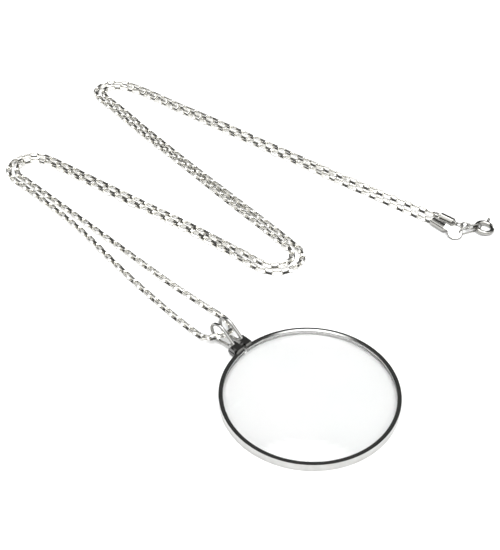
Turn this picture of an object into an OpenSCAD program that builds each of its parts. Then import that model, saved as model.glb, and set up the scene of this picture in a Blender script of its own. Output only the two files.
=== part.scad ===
// Magnifier pendant on a long fine chain, lying on a table with the chain in a zigzag.
// +Z is up, the table is at z = 0, and the origin is under the middle of the whole piece.

/* [Lens] */
// Diameter over the metal rim
rim_d = 45.2; // [44:0.1:46]
// Height of the rim
rim_h = 2.3; // [2:0.1:3]
// Width of the rim's top
rim_wall = 1.05; // [0.9:0.05:1.2]
// Thickness of the lens at its edge
lens_edge = 0.9; // [0.6:0.1:1]
// How far the upper face swells above the edge
lens_top_sag = 2; // [1:0.1:3]
// How far the lower face swells below the edge
lens_bottom_sag = 0.6; // [0.3:0.1:0.65]

/* [Bail] */
// Width of each closing lug
lug_w = 2; // [1.8:0.1:2.2]
// Height of each closing lug
lug_h = 3; // [2.6:0.1:3.2]
// Gap between the lugs, which the screw pulls together
slot_w = 1; // [0.8:0.1:1.2]
// Height of each chain loop
loop_d = 6.4; // [6.2:0.1:6.6]
// Wire of each chain loop
loop_wire = 0.9; // [0.8:0.05:1]

/* [Screw] */
// Diameter of the closing screw's shank
screw_d = 1.2; // [1:0.1:1.3]
// Diameter of the closing screw's head
screw_head_d = 2.5; // [2.2:0.1:2.6]

/* [Chain] */
// Width over the chain's links
chain_d = 1.8; // [1.6:0.1:1.8]

/* [Clasp] */
// Diameter over the spring ring
clasp_d = 6; // [5.8:0.1:6]
// Diameter of the spring ring's tube
clasp_tube = 1.3; // [1.2:0.05:1.3]
// Wire of the sliding bolt
bolt_wire = 0.6; // [0.5:0.05:0.6]

/* [Hidden] */

round_fn = 96;
wire_fn = 32;

// Lens and rim
lens_xy = [16.9, -59.5];
rim_r = rim_d / 2;
slope_w = 0.5;
slope_drop = 0.1;
groove_depth = 0.33;
groove_r = rim_r - rim_wall + groove_depth;
lens_play = 0.05;
lens_r = groove_r - lens_play;
lens_z = 0.7;
top_r = (lens_r * lens_r + lens_top_sag * lens_top_sag) / (2 * lens_top_sag);
bottom_r = (lens_r * lens_r + lens_bottom_sag * lens_bottom_sag) / (2 * lens_bottom_sag);
face_steps = 14;

// Bail: its direction from the middle of the lens, then places along that radius and across it
bail_azimuth = 136.5;
lug_in = 22.2;
lug_out = 25.4;
lug_across = (slot_w + lug_w) / 2;
loop_along = 29.9;
loop_across = 1.5;
loop_r = (loop_d - loop_wire) / 2;
loop_lift = 0.1;
loop_centre = [loop_along, loop_d / 2 + loop_lift];
upper_foot = [24.7, 2.8];
lower_foot = [24.9, 1.4];
bead_d = loop_wire + 0.05;
bead_reach = 0.05;
bead_turn = 1;

// Screw
screw_along = 24;
screw_z = 1.6;
screw_play = 0.03;
screw_head_h = 0.55;
screw_seat = 0.02;
lug_face = slot_w / 2 + lug_w;
screw_slot_w = 0.35;
screw_slot_depth = 0.25;

// Chain: each half runs from the middle of the bail to its end cap
chain_sides = 8;
lie = 0.85;
route_one = [
    [-3.9, -39.7, 2.7], [-3.1, -39.3, 2.6], [-2.6, -38, 2.5], [-2.9, -36.1, 2.2], [-3.9, -33.8, 1.6],
    [-5.5, -31.4, 1.1], [-8, -29, lie], [-19.5, -18.5, lie], [-32, -6, lie], [-45, 7, lie],
    [-58, 20, lie], [-66, 28, lie], [-69, 31, lie], [-69.5, 34.5, lie], [-68.5, 36.5, lie],
    [-65.5, 38, lie], [-60.5, 36.5, lie], [-47.5, 27, lie], [-33.5, 17, lie], [-20, 7.5, lie],
    [-6, -3.5, lie], [1, -9.5, lie], [5, -12.5, lie], [9.5, -14, lie], [13.5, -12.5, lie],
    [16.5, -9.5, lie], [16.8, -5.5, lie], [13.4, -0.5, lie], [-3, 19.5, lie], [-17.5, 37, lie],
    [-31, 54, lie], [-40.5, 66.5, lie], [-45, 72, lie], [-47, 75.5, lie], [-46, 78, lie],
    [-43, 79.2, lie], [-39.5, 78.2, lie], [-34.5, 75.5, lie], [-22, 66, lie], [-9, 56, lie],
    [7.5, 43.5, lie], [37, 21.5, lie], [53.2, 9.5, lie], [55.2, 8.1, 1.15], [56.3, 6.9, 1.2]];
route_two = [
    [-4.1, -39.8, 2.7], [-5, -40.2, 2.8], [-6.1, -40.5, 2.9], [-7.4, -40.6, 2.5], [-8.8, -40.2, 1.7],
    [-10.3, -39.2, 1.1], [-12.5, -37, lie], [-19.5, -29.5, lie], [-33, -13.5, lie], [-47, 4.5, lie],
    [-59.5, 18, lie], [-67, 25.5, lie], [-70.5, 29, lie], [-72.1, 33.5, lie], [-71, 37, lie],
    [-67.5, 40, lie], [-63, 40.2, lie], [-59, 38, lie], [-46.5, 29, lie], [-32, 18.5, lie],
    [-18, 8.5, lie], [-5, -1.5, lie], [1.5, -6.5, lie], [5, -9.5, lie], [8.5, -11.2, lie],
    [12, -10.2, lie], [14, -8, lie], [13.5, -4.5, lie], [10, 0, lie], [-5, 18.5, lie],
    [-19.5, 36.5, lie], [-33, 53, lie], [-43, 66, lie], [-47.5, 71.5, lie], [-49.5, 75.5, lie],
    [-48.5, 79, lie], [-45.5, 81.1, lie], [-40.5, 81.1, lie], [-35, 78.2, lie], [-21.5, 68.2, lie],
    [-8.5, 58.7, lie], [9, 45.5, lie], [40.5, 22.2, lie], [56, 11.5, lie], [58, 10.1, 1.15],
    [59.1, 9.2, 1.2]];

// End caps: where each barrel starts and ends, seen from above, and how high its axis lies
cap_one_start = [55.3, 8];
cap_one_end = [58.45, 4.6];
cap_two_start = [58, 10.1];
cap_two_end = [61.2, 7.45];
cap_z = 1.2;
cap_r = 1.15;
cap_bore_r = 0.95;
cap_floor = 1.2;
shoulder = 0.7;
neck_r = 0.4;

// Round plate on the first cap, which the hook ring passes through
plate_middle = [61, 2.75, 1.25];
plate_tilt = 28;
plate_r = 2.2;
plate_t = 0.3;
plate_hole = [1.41, 0.18];
plate_hole_r = 0.45;
dimple = [-1.34, 0.95];
dimple_r = 0.25;
tongue_w = 1.6;
tongue_turn = 143;
tongue_length = 3.5;

// Eye on the second cap
cap_eye_out = 2.1;
cap_eye_r = 0.95;
cap_eye_wire = 0.45;

// Rings of wire, standing on edge
hook_start = [63.53, 3.32];
hook_end = [67.8, 4.9];
hook_r = 1.2;
hook_wire = 0.4;
jump_middle = [64.3, 5.6];
jump_turn = -14.5;
jump_r = 1.15;
jump_wire = 0.44;

// Spring ring: angles go round from the side away from its eye
clasp_tilt = 6;
clasp_xy = [69.9, 5.3];
clasp_r = (clasp_d - clasp_tube) / 2;
clasp_z = clasp_tube / 2 + clasp_r * sin(clasp_tilt);
gap_from = -14;
gap_to = 20;
bolt_play = 0.06;
bolt_seat = 4;
bolt_tail = 84;
bolt_travel = 34;
nub_at = 62;
nub_r = 0.22;
nub_reach = 0.95;
nub_lean = 25;
window_side = 5;
clasp_eye_out = 4.1;
clasp_eye_r = 1;
clasp_eye_wire = 0.5;

function unit(v) = v / norm(v);
// How far a ball's surface falls away at a distance from its pole
function sag_at(x, r) = r - sqrt(r * r - x * x);
function heading(from, to) = atan2(to[1] - from[1], to[0] - from[0]);

// Rings of points across a route, each square to the route there
function along(route, i) =
    unit(route[min(i + 1, len(route) - 1)] - route[max(i - 1, 0)]);
function across(route, i) = unit(cross(along(route, i), [0, 0, 1]));
function above(route, i) = cross(across(route, i), along(route, i));
function ring(route, i, r, sides) = [
    for (k = [0 : sides - 1])
        let (a = 360 * (k + 0.5) / sides)
        route[i] + r * cos(a) * across(route, i) + r * sin(a) * above(route, i)];

// A tube along a route, closed at both ends
module tube_along(route, r, sides) {
    last = len(route) - 1;
    points = [for (i = [0 : last]) each ring(route, i, r, sides)];
    walls = [
        for (i = [0 : last - 1], k = [0 : sides - 1])
            let (n = (k + 1) % sides)
            [i * sides + k, i * sides + n, (i + 1) * sides + n, (i + 1) * sides + k]];
    start = [for (k = [sides - 1 : -1 : 0]) k];
    end = [for (k = [0 : sides - 1]) last * sides + k];
    polyhedron(points, concat(walls, [start, end]), convexity = 20);
}

module wire_ring(r, wire) {
    rotate_extrude($fn = round_fn) translate([r, 0]) circle(d = wire, $fn = wire_fn);
}

module at_lens() {
    translate(lens_xy) children();
}

module at_bail() {
    at_lens() rotate([0, 0, bail_azimuth]) children();
}

module at_clasp() {
    translate([clasp_xy[0], clasp_xy[1], clasp_z]) rotate([0, clasp_tilt, 0]) children();
}

// Channel round the lens: its top slopes down to the lens, and a groove holds the lens's edge
module rim_channel() {
    rotate_extrude($fn = 2 * round_fn) difference() {
        polygon([
            [rim_r - rim_wall, 0], [rim_r, 0], [rim_r, rim_h],
            [rim_r - rim_wall + slope_w, rim_h], [rim_r - rim_wall, rim_h - slope_drop]]);
        translate([0, lens_z - lens_play]) square([groove_r, lens_edge + 2 * lens_play]);
    }
}

module lug(side) {
    translate([lug_in, side * lug_across - lug_w / 2, 0]) cube([lug_out - lug_in, lug_w, lug_h]);
}

// Direction of the straight run from a foot that meets the loop's round end
function run_angle(foot, turn) =
    let (reach = loop_centre - foot)
    atan2(reach[1], reach[0]) + turn * asin(loop_r / norm(reach));

// Straight run with the solder bead that joins it to the round end
module loop_run(foot, turn) {
    reach = norm(loop_centre - foot);
    length = sqrt(reach * reach - loop_r * loop_r);
    translate(foot) rotate([0, 90, run_angle(foot, turn)]) {
        cylinder(d = loop_wire, h = length - bead_reach, $fn = wire_fn);
        translate([0, 0, length]) sphere(d = bead_d, $fn = wire_fn);
    }
}

// Loop of wire that leans out from its lug: two straight runs and a round end
module chain_loop(side) {
    start = run_angle(lower_foot, -1) - 90 + bead_turn;
    end = run_angle(upper_foot, 1) + 90 - bead_turn;
    translate([0, side * loop_across, 0]) rotate([90, 0, 0]) {
        loop_run(upper_foot, 1);
        loop_run(lower_foot, -1);
        translate(loop_centre) tube_arc(loop_r, loop_wire / 2, start, end);
    }
}

module rim() {
    color("silver") difference() {
        union() {
            at_lens() rim_channel();
            at_bail() for (side = [-1, 1]) {
                lug(side);
                chain_loop(side);
            }
        }
        at_bail() translate([rim_r - 2 * rim_wall, -slot_w / 2, -1])
            cube([2 * rim_wall + 1, slot_w, rim_h + 2]);
        at_bail() translate([screw_along, 0, screw_z]) rotate([90, 0, 0])
            cylinder(r = screw_d / 2 + screw_play, h = 3 * lug_w, center = true, $fn = wire_fn);
    }
}

// Biconvex lens: two shallow spherical faces round a straight edge
module lens() {
    bottom = [
        for (i = [0 : face_steps])
            let (x = lens_r * i / face_steps)
            [x, lens_z - lens_bottom_sag + sag_at(x, bottom_r)]];
    top = [
        for (i = [face_steps : -1 : 0])
            let (x = lens_r * i / face_steps)
            [x, lens_z + lens_edge + lens_top_sag - sag_at(x, top_r)]];
    color("lightcyan") at_lens() rotate_extrude($fn = 2 * round_fn) polygon(concat(bottom, top));
}

module closing_screw() {
    color("silver") at_bail() translate([screw_along, lug_face + screw_seat, screw_z])
        rotate([90, 0, 0]) difference() {
            union() {
                cylinder(d = screw_d, h = 2 * lug_face, $fn = wire_fn);
                translate([0, 0, -screw_head_h])
                    cylinder(d = screw_head_d, h = screw_head_h, $fn = wire_fn);
            }
            translate([-screw_head_d, -screw_slot_w / 2, -screw_head_h - 1])
                cube([2 * screw_head_d, screw_slot_w, 1 + screw_slot_depth]);
        }
}

module chain_one() {
    color("gainsboro") tube_along(route_one, chain_d / 2, chain_sides);
}

module chain_two() {
    color("gainsboro") tube_along(route_two, chain_d / 2, chain_sides);
}

// Barrel with the chain's end in its bore, and a shoulder down to a neck
module barrel(start, end, neck_length) {
    length = norm(end - start);
    translate([start[0], start[1], cap_z]) rotate([0, 90, heading(start, end)]) difference() {
        union() {
            cylinder(r = cap_r, h = length, $fn = wire_fn);
            translate([0, 0, length]) cylinder(r1 = cap_r, r2 = neck_r, h = shoulder, $fn = wire_fn);
            cylinder(r = neck_r, h = length + neck_length, $fn = wire_fn);
        }
        translate([0, 0, -1]) cylinder(r = cap_bore_r, h = length - cap_floor + 1, $fn = wire_fn);
    }
}

// Round end plate with a tongue back to the barrel
module end_plate() {
    translate(plate_middle) rotate([plate_tilt, 0, 0]) difference() {
        union() {
            cylinder(r = plate_r, h = plate_t, center = true, $fn = round_fn);
            rotate([0, 0, tongue_turn]) translate([0, -tongue_w / 2, -plate_t / 2])
                cube([tongue_length, tongue_w, plate_t]);
        }
        translate(plate_hole) cylinder(r = plate_hole_r, h = 1, center = true, $fn = wire_fn);
        translate(dimple) cylinder(r = dimple_r, h = 1, center = true, $fn = wire_fn);
    }
}

module end_cap_one() {
    color("silver") union() {
        barrel(cap_one_start, cap_one_end, shoulder);
        end_plate();
    }
}

module end_cap_two() {
    direction = unit(cap_two_end - cap_two_start);
    eye = cap_two_end + cap_eye_out * direction;
    color("silver") union() {
        barrel(cap_two_start, cap_two_end, cap_eye_out - cap_eye_r);
        translate([eye[0], eye[1], cap_z]) wire_ring(cap_eye_r, cap_eye_wire);
    }
}

// Oblong link on edge, with straight sides between two half rings
module hook_ring() {
    length = norm(hook_end - hook_start);
    color("silver") translate([hook_start[0], hook_start[1], hook_r + hook_wire / 2])
        rotate([90, 0, heading(hook_start, hook_end)]) {
            rotate([0, 0, 90]) rotate_extrude(angle = 180, $fn = round_fn)
                translate([hook_r, 0]) circle(d = hook_wire, $fn = wire_fn);
            translate([length, 0, 0]) rotate([0, 0, -90]) rotate_extrude(angle = 180, $fn = round_fn)
                translate([hook_r, 0]) circle(d = hook_wire, $fn = wire_fn);
            for (side = [-1, 1]) translate([0, side * hook_r, 0]) rotate([0, 90, 0])
                cylinder(d = hook_wire, h = length, $fn = wire_fn);
        }
}

module jump_ring() {
    color("silver") translate([jump_middle[0], jump_middle[1], jump_r + jump_wire / 2])
        rotate([90, 0, jump_turn]) wire_ring(jump_r, jump_wire);
}

// Part of a ring's tube between two angles
module tube_arc(r, tube_r, from, to) {
    rotate([0, 0, from]) rotate_extrude(angle = to - from, $fn = round_fn)
        translate([r, 0]) circle(r = tube_r, $fn = wire_fn);
}

module clasp_body() {
    bore_r = bolt_wire / 2 + bolt_play;
    bore_to = bolt_tail + bolt_travel + bolt_seat;
    window_angle = bolt_travel + 2 * window_side;
    color("silver") at_clasp() difference() {
        union() {
            tube_arc(clasp_r, clasp_tube / 2, gap_to, 360 + gap_from);
            translate([-clasp_eye_out, 0, 0]) wire_ring(clasp_eye_r, clasp_eye_wire);
        }
        tube_arc(clasp_r, bore_r, gap_to - 1, bore_to);
        tube_arc(clasp_r, bore_r, gap_from - 2 * bolt_seat, gap_from + 1);
        rotate([0, 0, nub_at - window_side]) rotate_extrude(angle = window_angle, $fn = round_fn)
            translate([clasp_r, 0]) rotate(nub_lean) translate([0, -nub_r - bolt_play])
                square([clasp_tube, 2 * (nub_r + bolt_play)]);
    }
}

// Curved bolt with the nub that the thumbnail pushes
module clasp_bolt() {
    color("silver") at_clasp() union() {
        tube_arc(clasp_r, bolt_wire / 2, gap_from - bolt_seat, bolt_tail);
        rotate([0, 0, nub_at]) translate([clasp_r, 0, 0]) rotate([0, 90 - nub_lean, 0])
            cylinder(r = nub_r, h = nub_reach, $fn = wire_fn);
    }
}

rim();
lens();
closing_screw();
chain_one();
chain_two();
end_cap_one();
end_cap_two();
hook_ring();
jump_ring();
clasp_body();
clasp_bolt();
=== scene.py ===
import math

import bpy
import numpy as np
from mathutils import Matrix


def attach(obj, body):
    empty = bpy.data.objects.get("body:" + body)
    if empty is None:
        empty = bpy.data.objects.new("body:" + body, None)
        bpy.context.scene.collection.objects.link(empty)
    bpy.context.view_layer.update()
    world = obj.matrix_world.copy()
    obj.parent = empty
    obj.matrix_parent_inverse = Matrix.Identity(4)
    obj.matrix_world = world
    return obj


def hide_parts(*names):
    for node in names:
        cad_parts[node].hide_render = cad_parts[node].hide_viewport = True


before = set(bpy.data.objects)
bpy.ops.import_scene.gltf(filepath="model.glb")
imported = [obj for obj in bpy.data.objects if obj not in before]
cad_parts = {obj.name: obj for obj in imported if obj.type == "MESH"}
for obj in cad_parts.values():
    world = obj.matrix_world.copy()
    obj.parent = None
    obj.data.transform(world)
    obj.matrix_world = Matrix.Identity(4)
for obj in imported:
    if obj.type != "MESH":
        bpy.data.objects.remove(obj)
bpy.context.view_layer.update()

# Magnifier pendant on a long fine chain, laid in a zigzag on a white table.
# Metres throughout, +Z up, +Y away from the camera.

# Camera
CAMERA_PLACE = (0.0021, -0.2497, 0.2152)
LOOKING_DOWN = 42.4
LENS_MM = 75.27
SENSOR_MM = 36
NEAR_CLIP = 0.01

# Chain: each half runs from the middle of the bail to its end cap
PATH_STEP = 0.0001
LIE = 0.00085
ROUTE_ONE = [
    (-0.0039, -0.0397, 0.0027), (-0.0031, -0.0393, 0.0026), (-0.0026, -0.038, 0.0025),
    (-0.0029, -0.0361, 0.0022), (-0.0039, -0.0338, 0.0016), (-0.0055, -0.0314, 0.0011),
    (-0.008, -0.029, LIE), (-0.0195, -0.0185, LIE), (-0.032, -0.006, LIE), (-0.045, 0.007, LIE),
    (-0.058, 0.02, LIE), (-0.066, 0.028, LIE), (-0.069, 0.031, LIE), (-0.0695, 0.0345, LIE),
    (-0.0685, 0.0365, LIE), (-0.0655, 0.038, LIE), (-0.0605, 0.0365, LIE), (-0.0475, 0.027, LIE),
    (-0.0335, 0.017, LIE), (-0.02, 0.0075, LIE), (-0.006, -0.0035, LIE), (0.001, -0.0095, LIE),
    (0.005, -0.0125, LIE), (0.0095, -0.014, LIE), (0.0135, -0.0125, LIE), (0.0165, -0.0095, LIE),
    (0.0168, -0.0055, LIE), (0.0134, -0.0005, LIE), (-0.003, 0.0195, LIE), (-0.0175, 0.037, LIE),
    (-0.031, 0.054, LIE), (-0.0405, 0.0665, LIE), (-0.045, 0.072, LIE), (-0.047, 0.0755, LIE),
    (-0.046, 0.078, LIE), (-0.043, 0.0792, LIE), (-0.0395, 0.0782, LIE), (-0.0345, 0.0755, LIE),
    (-0.022, 0.066, LIE), (-0.009, 0.056, LIE), (0.0075, 0.0435, LIE), (0.037, 0.0215, LIE),
    (0.0532, 0.0095, LIE), (0.0552, 0.0081, 0.00115), (0.0563, 0.0069, 0.0012),
]
ROUTE_TWO = [
    (-0.0041, -0.0398, 0.0027), (-0.005, -0.0402, 0.0028), (-0.0061, -0.0405, 0.0029),
    (-0.0074, -0.0406, 0.0025), (-0.0088, -0.0402, 0.0017), (-0.0103, -0.0392, 0.0011),
    (-0.0125, -0.037, LIE), (-0.0195, -0.0295, LIE), (-0.033, -0.0135, LIE), (-0.047, 0.0045, LIE),
    (-0.0595, 0.018, LIE), (-0.067, 0.0255, LIE), (-0.0705, 0.029, LIE), (-0.0721, 0.0335, LIE),
    (-0.071, 0.037, LIE), (-0.0675, 0.04, LIE), (-0.063, 0.0402, LIE), (-0.059, 0.038, LIE),
    (-0.0465, 0.029, LIE), (-0.032, 0.0185, LIE), (-0.018, 0.0085, LIE), (-0.005, -0.0015, LIE),
    (0.0015, -0.0065, LIE), (0.005, -0.0095, LIE), (0.0085, -0.0112, LIE), (0.012, -0.0102, LIE),
    (0.014, -0.008, LIE), (0.0135, -0.0045, LIE), (0.01, 0, LIE), (-0.005, 0.0185, LIE),
    (-0.0195, 0.0365, LIE), (-0.033, 0.053, LIE), (-0.043, 0.066, LIE), (-0.0475, 0.0715, LIE),
    (-0.0495, 0.0755, LIE), (-0.0485, 0.079, LIE), (-0.0455, 0.0811, LIE), (-0.0405, 0.0811, LIE),
    (-0.035, 0.0782, LIE), (-0.0215, 0.0682, LIE), (-0.0085, 0.0587, LIE), (0.009, 0.0455, LIE),
    (0.0405, 0.0222, LIE), (0.056, 0.0115, LIE), (0.058, 0.0101, 0.00115), (0.0591, 0.0092, 0.0012),
]

# Links: two wires side by side in each, filed flat along the outside
LINK_PITCH = 0.0024
LINK_WIRE = 0.00042
LINK_WIDTH = 0.0017
LINK_LENGTH = LINK_PITCH + 2 * LINK_WIRE
LINK_ROLLS = (94, 4)
WIRES_IN_LINK = 2
END_POINTS = 8
WIRE_SECTION = ((0.85, -0.45), (0.85, 0.45), (0.1, 1), (-0.85, 0.6), (-0.85, -0.6), (0.1, -1))
BAIL_GAP = 0.0011
CAP_GAP = 0.0004

# Slow twist of the chain as it lies: degrees, and how many links its two waves are long
TWIST = 9
TWIST_LINKS = (47, 31)

# Clasp, and the thumb piece on its bolt's nub: distances out from the tube's middle, and radii
CLASP_XY = (0.0699, 0.0053)
CLASP_TILT = 6
CLASP_RADIUS = 0.00235
CLASP_TUBE = 0.0013
NUB_AT = 62
NUB_LEAN = 25
NUB_HEAD = ((0.0007, 0.0004), (0.0017, 0.0004), (0.0018, 0.0003))
NUB_SIDES = 16

# Turned-up edge of the round end plate, open where the plate's tongue is; coloured near-black as painted
# shade for the plate's outline
PLATE_MIDDLE = (0.061, 0.00275, 0.00125)
PLATE_TILT = 28
EDGE_RADIUS = 0.00212
EDGE_HEIGHT = 0.00012
EDGE_WIRE_RADIUS = 0.00014
EDGE_ARC = (169, 477)
EDGE_POINTS = 60
EDGE_SIDES = 6

# Plated metals: dark and light colour, least and most roughness, and fineness of the patches
CHAIN_METAL = (0.74, 0.73, 0.69), (0.84, 0.83, 0.79), (0.06, 0.14), 900
RIM_METAL = (0.44, 0.44, 0.43), (0.5, 0.5, 0.49), (0.04, 0.1), 500
# Screw: near-black colour, painted shade for the dark arcs on its head
SCREW_PAINTED_SHADE_METAL = (0.1, 0.1, 0.1), (0.16, 0.16, 0.16), (0.1, 0.2), 1200
FINDINGS_METAL = (0.34, 0.34, 0.32), (0.4, 0.39, 0.37), (0.08, 0.18), 1100
# Bolt, its nub and the plate's turned-up edge: near-black colour, painted shade for their dark strokes
# and outline
DARK_PAINTED_SHADE_METAL = (0.06, 0.06, 0.06), (0.12, 0.12, 0.11), (0.1, 0.2), 1200
PATCH_EDGES = (0.35, 0.65)
POLISH_DEPTH = 0.000004
POLISH_STRENGTH = 0.3

# The rim's bail, coloured darker above a height: painted shade for the dark edges of its loops
PAINTED_SHADE_ABOVE = 0.00235
PAINTED_SHADE_BLEND = 0.0001
PAINTED_SHADE_COLOUR = (0.34, 0.34, 0.33)

# Lens
GLASS_IOR = 1.45
WIPE_DEPTH = 0.000002
WIPE_STRENGTH = 0.05

# Table
TABLE_HALF = 1.5
TABLE_ROUGHNESS = 0.7
TABLE_GLOSS = 0.2

# Room: brightness against the sine of the height above the horizon, on the far side and the near side
STUDIO_STRENGTH = 7
FAR_BANDS = [(0, 0.25), (0.03, 0.013), (0.9, 0.013), (0.94, 1), (0.985, 1), (0.99, 0.08)]
NEAR_BANDS = [(0, 0.01), (0.3, 0.01), (0.42, 0.3), (0.88, 0.3), (0.94, 1), (0.985, 1), (0.99, 0.08)]
SIDE_BLEND = (-0.2, 0.25)


def camera():
    view = bpy.data.cameras.new("camera")
    view.lens = LENS_MM
    view.sensor_fit = "VERTICAL"
    view.sensor_height = SENSOR_MM
    view.clip_start = NEAR_CLIP
    eye = bpy.data.objects.new("camera", view)
    eye.location = CAMERA_PLACE
    eye.rotation_euler = (math.radians(90 - LOOKING_DOWN), 0, 0)
    bpy.context.collection.objects.link(eye)
    bpy.context.scene.camera = eye


def new_piece(name, vertices, faces):
    mesh = bpy.data.meshes.new(name)
    mesh.from_pydata(vertices, [], faces)
    piece = bpy.data.objects.new(name, mesh)
    bpy.context.collection.objects.link(piece)
    return piece


# Chain's path and links

def curve_between(before, start, end, after, steps):
    """Centripetal Catmull-Rom curve from start up to end, without end itself."""
    knots = [0.0]
    for a, b in ((before, start), (start, end), (end, after)):
        knots.append(knots[-1] + math.sqrt(np.linalg.norm(b - a)))
    t = np.linspace(knots[1], knots[2], steps, endpoint=False)[:, None]

    def mix(a, b, low, high):
        share = (t - knots[low]) / (knots[high] - knots[low])
        return (1 - share) * a + share * b

    first = mix(before, start, 0, 1)
    second = mix(start, end, 1, 2)
    third = mix(end, after, 2, 3)
    return mix(mix(first, second, 0, 2), mix(second, third, 1, 3), 1, 2)


def smooth_path(route):
    points = np.array(route)
    points = np.vstack([2 * points[0] - points[1], points, 2 * points[-1] - points[-2]])
    runs = []
    for i in range(1, len(points) - 2):
        steps = max(2, int(np.linalg.norm(points[i + 1] - points[i]) / PATH_STEP))
        runs.append(curve_between(*points[i - 1:i + 3], steps))
    return np.vstack(runs + [points[-2:-1]])


def distances_along(path):
    steps = np.linalg.norm(np.diff(path, axis=0), axis=1)
    return np.concatenate([[0], np.cumsum(steps)])


def points_at(path, distances):
    along = distances_along(path)
    return np.stack([np.interp(distances, along, path[:, k]) for k in range(3)], axis=1)


def link_outline():
    """A link's wire, as points and outward normals: two half circles joined by straight sides."""
    end_r = (LINK_WIDTH - LINK_WIRE) / 2
    half_straight = (LINK_LENGTH - LINK_WIDTH) / 2
    turns = np.radians(np.linspace(-90, 90, END_POINTS))
    normals = np.stack([np.cos(turns), np.sin(turns)], axis=1)
    normals = np.vstack([normals, -normals])
    shift = np.repeat([half_straight, -half_straight], END_POINTS)
    points = end_r * normals
    points[:, 0] += shift
    return points, normals


def link_mesh():
    """Vertices of one link about its middle, along X, with its wires beside each other in Z."""
    points, normals = link_outline()
    sides = len(WIRE_SECTION)
    vertices, faces = [], []
    for wire in range(WIRES_IN_LINK):
        height = (wire - (WIRES_IN_LINK - 1) / 2) * LINK_WIRE
        first = len(vertices)
        for point, normal in zip(points, normals):
            for out, across in WIRE_SECTION:
                x, y = point + LINK_WIRE / 2 * out * normal
                vertices.append((x, y, height + LINK_WIRE / 2 * across))
        for i in range(len(points)):
            here, there = first + i * sides, first + (i + 1) % len(points) * sides
            for k in range(sides):
                m = (k + 1) % sides
                faces.append([here + k, there + k, there + m, here + m])
    return np.array(vertices), np.array(faces)


def link_roll(i, start_roll):
    """Turn of a link about its length: standing and lying by turns, with the slow twist."""
    swing = sum(math.sin(2 * math.pi * i / links) for links in TWIST_LINKS) / len(TWIST_LINKS)
    return math.radians(LINK_ROLLS[(i + start_roll) % 2] + TWIST * swing)


def link_axes(ahead, roll):
    """Rows along a link, across it and out of its plane."""
    ahead = ahead / np.linalg.norm(ahead)
    side = np.cross((0, 0, 1), ahead)
    side /= np.linalg.norm(side)
    up = np.cross(ahead, side)
    turned_side = math.cos(roll) * side + math.sin(roll) * up
    turned_up = math.cos(roll) * up - math.sin(roll) * side
    return np.stack([ahead, turned_side, turned_up])


def chain(name, route, node, start_roll):
    path = smooth_path(route)
    run = distances_along(path)[-1] - BAIL_GAP - CAP_GAP
    count = round(run / LINK_PITCH) + 1
    pitch = run / (count - 1)
    middles = BAIL_GAP + pitch * np.arange(count)
    back = points_at(path, middles - pitch / 2)
    front = points_at(path, middles + pitch / 2)
    shape, shape_faces = link_mesh()
    vertices, faces = [], []
    for i in range(count):
        axes = link_axes(front[i] - back[i], link_roll(i, start_roll))
        vertices.append(shape @ axes + (back[i] + front[i]) / 2)
        faces.append(shape_faces + i * len(shape))
    piece = new_piece(name, np.vstack(vertices).tolist(), np.vstack(faces).tolist())
    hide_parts(node)
    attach(piece, "necklace")
    return piece


# Small parts of the clasp and end plate

def round_bar(name, stations, sides, turn, place, body):
    """Round bar through stations (middle, two section axes, radius), closed at both ends."""
    angles = 2 * math.pi * np.arange(sides) / sides
    rings = []
    for middle, first, second, radius in stations:
        outward = np.outer(np.cos(angles), first) + np.outer(np.sin(angles), second)
        rings.append(middle + radius * outward)
    vertices = np.vstack(rings) @ np.array(turn).T + place
    last = len(vertices) - sides
    faces = [list(range(sides))[::-1], list(range(last, last + sides))]
    for start in range(0, last, sides):
        for k in range(sides):
            m = (k + 1) % sides
            faces.append([start + k, start + m, start + sides + m, start + sides + k])
    piece = new_piece(name, vertices.tolist(), faces)
    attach(piece, body)
    return piece


def nub_head():
    turn, lean = math.radians(NUB_AT), math.radians(NUB_LEAN)
    outward = np.array([math.cos(turn), math.sin(turn), 0])
    along = np.array([-math.sin(turn), math.cos(turn), 0])
    axis = math.cos(lean) * outward + math.sin(lean) * np.array([0, 0, 1])
    across = np.cross(axis, along)
    stations = [(CLASP_RADIUS * outward + out * axis, along, across, radius) for out, radius in NUB_HEAD]
    tilt = math.radians(CLASP_TILT)
    clasp_middle = (*CLASP_XY, CLASP_TUBE / 2 + CLASP_RADIUS * math.sin(tilt))
    return round_bar("nub_head", stations, NUB_SIDES, Matrix.Rotation(tilt, 3, "Y"), clasp_middle, "bolt")


def plate_shade_outline():
    stations = []
    for turn in np.radians(np.linspace(*EDGE_ARC, EDGE_POINTS)):
        outward = np.array([math.cos(turn), math.sin(turn), 0])
        middle = EDGE_RADIUS * outward + np.array([0, 0, EDGE_HEIGHT])
        stations.append((middle, outward, (0, 0, -1), EDGE_WIRE_RADIUS))
    tilt = Matrix.Rotation(math.radians(PLATE_TILT), 3, "X")
    return round_bar("plate_shade_outline", stations, EDGE_SIDES, tilt, PLATE_MIDDLE, "necklace")


# Materials

def node_tree(name):
    material = bpy.data.materials.new(name)
    material.use_nodes = True
    tree = material.node_tree
    return material, tree, tree.nodes["Principled BSDF"]


def noise(tree, scale, detail=3):
    place = tree.nodes.new("ShaderNodeTexCoord")
    texture = tree.nodes.new("ShaderNodeTexNoise")
    texture.inputs["Scale"].default_value = scale
    texture.inputs["Detail"].default_value = detail
    tree.links.new(place.outputs["Object"], texture.inputs["Vector"])
    return texture.outputs["Fac"]


def ramp(tree, factor, low, high):
    blend = tree.nodes.new("ShaderNodeValToRGB")
    for element, place, value in zip(blend.color_ramp.elements, PATCH_EDGES, (low, high)):
        element.position = place
        element.color = (*value, 1)
    tree.links.new(factor, blend.inputs["Fac"])
    return blend.outputs["Color"]


def spread(tree, factor, low, high):
    """From low where the factor is 0 up to high where it is 1."""
    scale = tree.nodes.new("ShaderNodeMapRange")
    scale.inputs["To Min"].default_value = low
    scale.inputs["To Max"].default_value = high
    tree.links.new(factor, scale.inputs["Value"])
    return scale.outputs["Result"]


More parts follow.
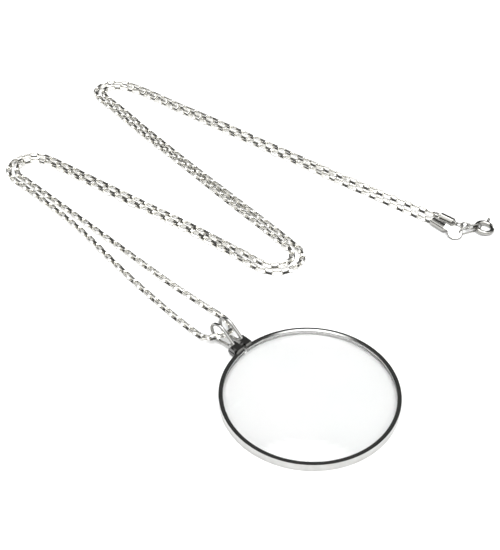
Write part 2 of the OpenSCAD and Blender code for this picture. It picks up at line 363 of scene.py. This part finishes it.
def share_between(tree, value, low, high):
    """0 where the value is low, up to 1 where it is high."""
    scale = tree.nodes.new("ShaderNodeMapRange")
    scale.inputs["From Min"].default_value = low
    scale.inputs["From Max"].default_value = high
    tree.links.new(value, scale.inputs["Value"])
    return scale.outputs["Result"]


def colour_mixer(tree, share):
    mixer = tree.nodes.new("ShaderNodeMix")
    mixer.data_type = "RGBA"
    tree.links.new(share, mixer.inputs["Factor"])
    return mixer


def place_parts(tree, coordinates):
    """X, Y and Z outputs of the chosen coordinates."""
    place = tree.nodes.new("ShaderNodeTexCoord")
    parts = tree.nodes.new("ShaderNodeSeparateXYZ")
    tree.links.new(place.outputs[coordinates], parts.inputs[0])
    return parts.outputs


def bump(tree, shader, height, depth, strength):
    relief = tree.nodes.new("ShaderNodeBump")
    relief.inputs["Distance"].default_value = depth
    relief.inputs["Strength"].default_value = strength
    tree.links.new(height, relief.inputs["Height"])
    tree.links.new(relief.outputs["Normal"], shader.inputs["Normal"])


def polished_metal(name, dark, light, roughness, grain):
    """Plated metal: faint patches of colour and roughness, and fine waviness left by polishing."""
    material, tree, shader = node_tree(name)
    shader.inputs["Metallic"].default_value = 1
    colour = ramp(tree, noise(tree, grain), dark, light)
    tree.links.new(colour, shader.inputs["Base Color"])
    tree.links.new(spread(tree, noise(tree, grain * 2.3), *roughness), shader.inputs["Roughness"])
    bump(tree, shader, noise(tree, grain * 1.4, 5), POLISH_DEPTH, POLISH_STRENGTH)
    return material


def paint_shade_above(material, height, blend, colour):
    """Painted shade: another, darker colour above a height."""
    tree = material.node_tree
    shader = tree.nodes["Principled BSDF"]
    plain = shader.inputs["Base Color"].links[0].from_socket
    rise = share_between(tree, place_parts(tree, "Object")["Z"], height - blend, height + blend)
    mixer = colour_mixer(tree, rise)
    mixer.inputs["B"].default_value = (*colour, 1)
    tree.links.new(plain, mixer.inputs["A"])
    tree.links.new(mixer.outputs["Result"], shader.inputs["Base Color"])


def clear_glass(name):
    """Ground and polished lens glass, with faint wipe marks in its gloss."""
    material, tree, shader = node_tree(name)
    shader.inputs["Transmission Weight"].default_value = 1
    shader.inputs["IOR"].default_value = GLASS_IOR
    tint = ramp(tree, noise(tree, 60), (0.985, 0.995, 0.99), (1, 1, 1))
    tree.links.new(tint, shader.inputs["Base Color"])
    tree.links.new(spread(tree, noise(tree, 250), 0.0, 0.02), shader.inputs["Roughness"])
    bump(tree, shader, noise(tree, 90, 2), WIPE_DEPTH, WIPE_STRENGTH)
    return material


def table_top(name):
    material, tree, shader = node_tree(name)
    shade = ramp(tree, noise(tree, 40), (0.86, 0.86, 0.86), (0.88, 0.88, 0.88))
    tree.links.new(shade, shader.inputs["Base Color"])
    shader.inputs["Roughness"].default_value = TABLE_ROUGHNESS
    shader.inputs["Specular IOR Level"].default_value = TABLE_GLOSS
    return material


def dress(node, material):
    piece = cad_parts[node]
    for slot in piece.material_slots:
        slot.material = material


# Floor and light

def floor(material):
    corners = [(x * TABLE_HALF, y * TABLE_HALF, 0) for x, y in ((-1, -1), (1, -1), (1, 1), (-1, 1))]
    piece = new_piece("floor", corners, [(0, 1, 2, 3)])
    piece.data.materials.append(material)


def brightness_bands(tree, height, bands):
    """Grey ramp through pairs of height and brightness."""
    ramp_node = tree.nodes.new("ShaderNodeValToRGB")
    elements = ramp_node.color_ramp.elements
    for element, (place, value) in zip(elements, (bands[0], bands[-1])):
        element.position = place
        element.color = (value, value, value, 1)
    for place, value in bands[1:-1]:
        elements.new(place).color = (value, value, value, 1)
    tree.links.new(height, ramp_node.inputs["Fac"])
    return ramp_node.outputs["Color"]


def studio():
    """Bright ceiling with a dark middle, dark far side, and a dark low band on the near side."""
    world = bpy.data.worlds.new("studio")
    world.use_nodes = True
    bpy.context.scene.world = world
    tree = world.node_tree
    background = tree.nodes["Background"]
    towards = place_parts(tree, "Generated")
    mixer = colour_mixer(tree, share_between(tree, towards["Y"], *SIDE_BLEND))
    tree.links.new(brightness_bands(tree, towards["Z"], NEAR_BANDS), mixer.inputs["A"])
    tree.links.new(brightness_bands(tree, towards["Z"], FAR_BANDS), mixer.inputs["B"])
    tree.links.new(mixer.outputs["Result"], background.inputs["Color"])
    background.inputs["Strength"].default_value = STUDIO_STRENGTH


camera()
strands = [
    chain("chain_links_one", ROUTE_ONE, "chain_one", 0),
    chain("chain_links_two", ROUTE_TWO, "chain_two", 1),
]
chain_metal = polished_metal("chain_metal", *CHAIN_METAL)
for strand in strands:
    strand.data.materials.append(chain_metal)
rim_metal = polished_metal("rim_metal", *RIM_METAL)
# Painted shade: the rim is coloured darker above the height, over its bail
paint_shade_above(rim_metal, PAINTED_SHADE_ABOVE, PAINTED_SHADE_BLEND, PAINTED_SHADE_COLOUR)
dress("rim", rim_metal)
# Painted shade: the screw's near-black colour stands in for its dark reflections
dress("closing_screw", polished_metal("screw_painted_shade_metal", *SCREW_PAINTED_SHADE_METAL))
findings_metal = polished_metal("findings_metal", *FINDINGS_METAL)
for node in ("end_cap_one", "end_cap_two", "hook_ring", "jump_ring", "clasp_body"):
    dress(node, findings_metal)
# Painted shade: near-black metal for the bolt, its nub and the plate's edge
dark_painted_shade_metal = polished_metal("dark_painted_shade_metal", *DARK_PAINTED_SHADE_METAL)
dress("clasp_bolt", dark_painted_shade_metal)
nub_head().data.materials.append(dark_painted_shade_metal)
# Painted shade: the plate's near-black edge draws its dark outline
plate_shade_outline().data.materials.append(dark_painted_shade_metal)
dress("lens", clear_glass("lens_glass"))
floor(table_top("table_top"))
studio()
bpy.context.scene.view_settings.view_transform = "Standard"
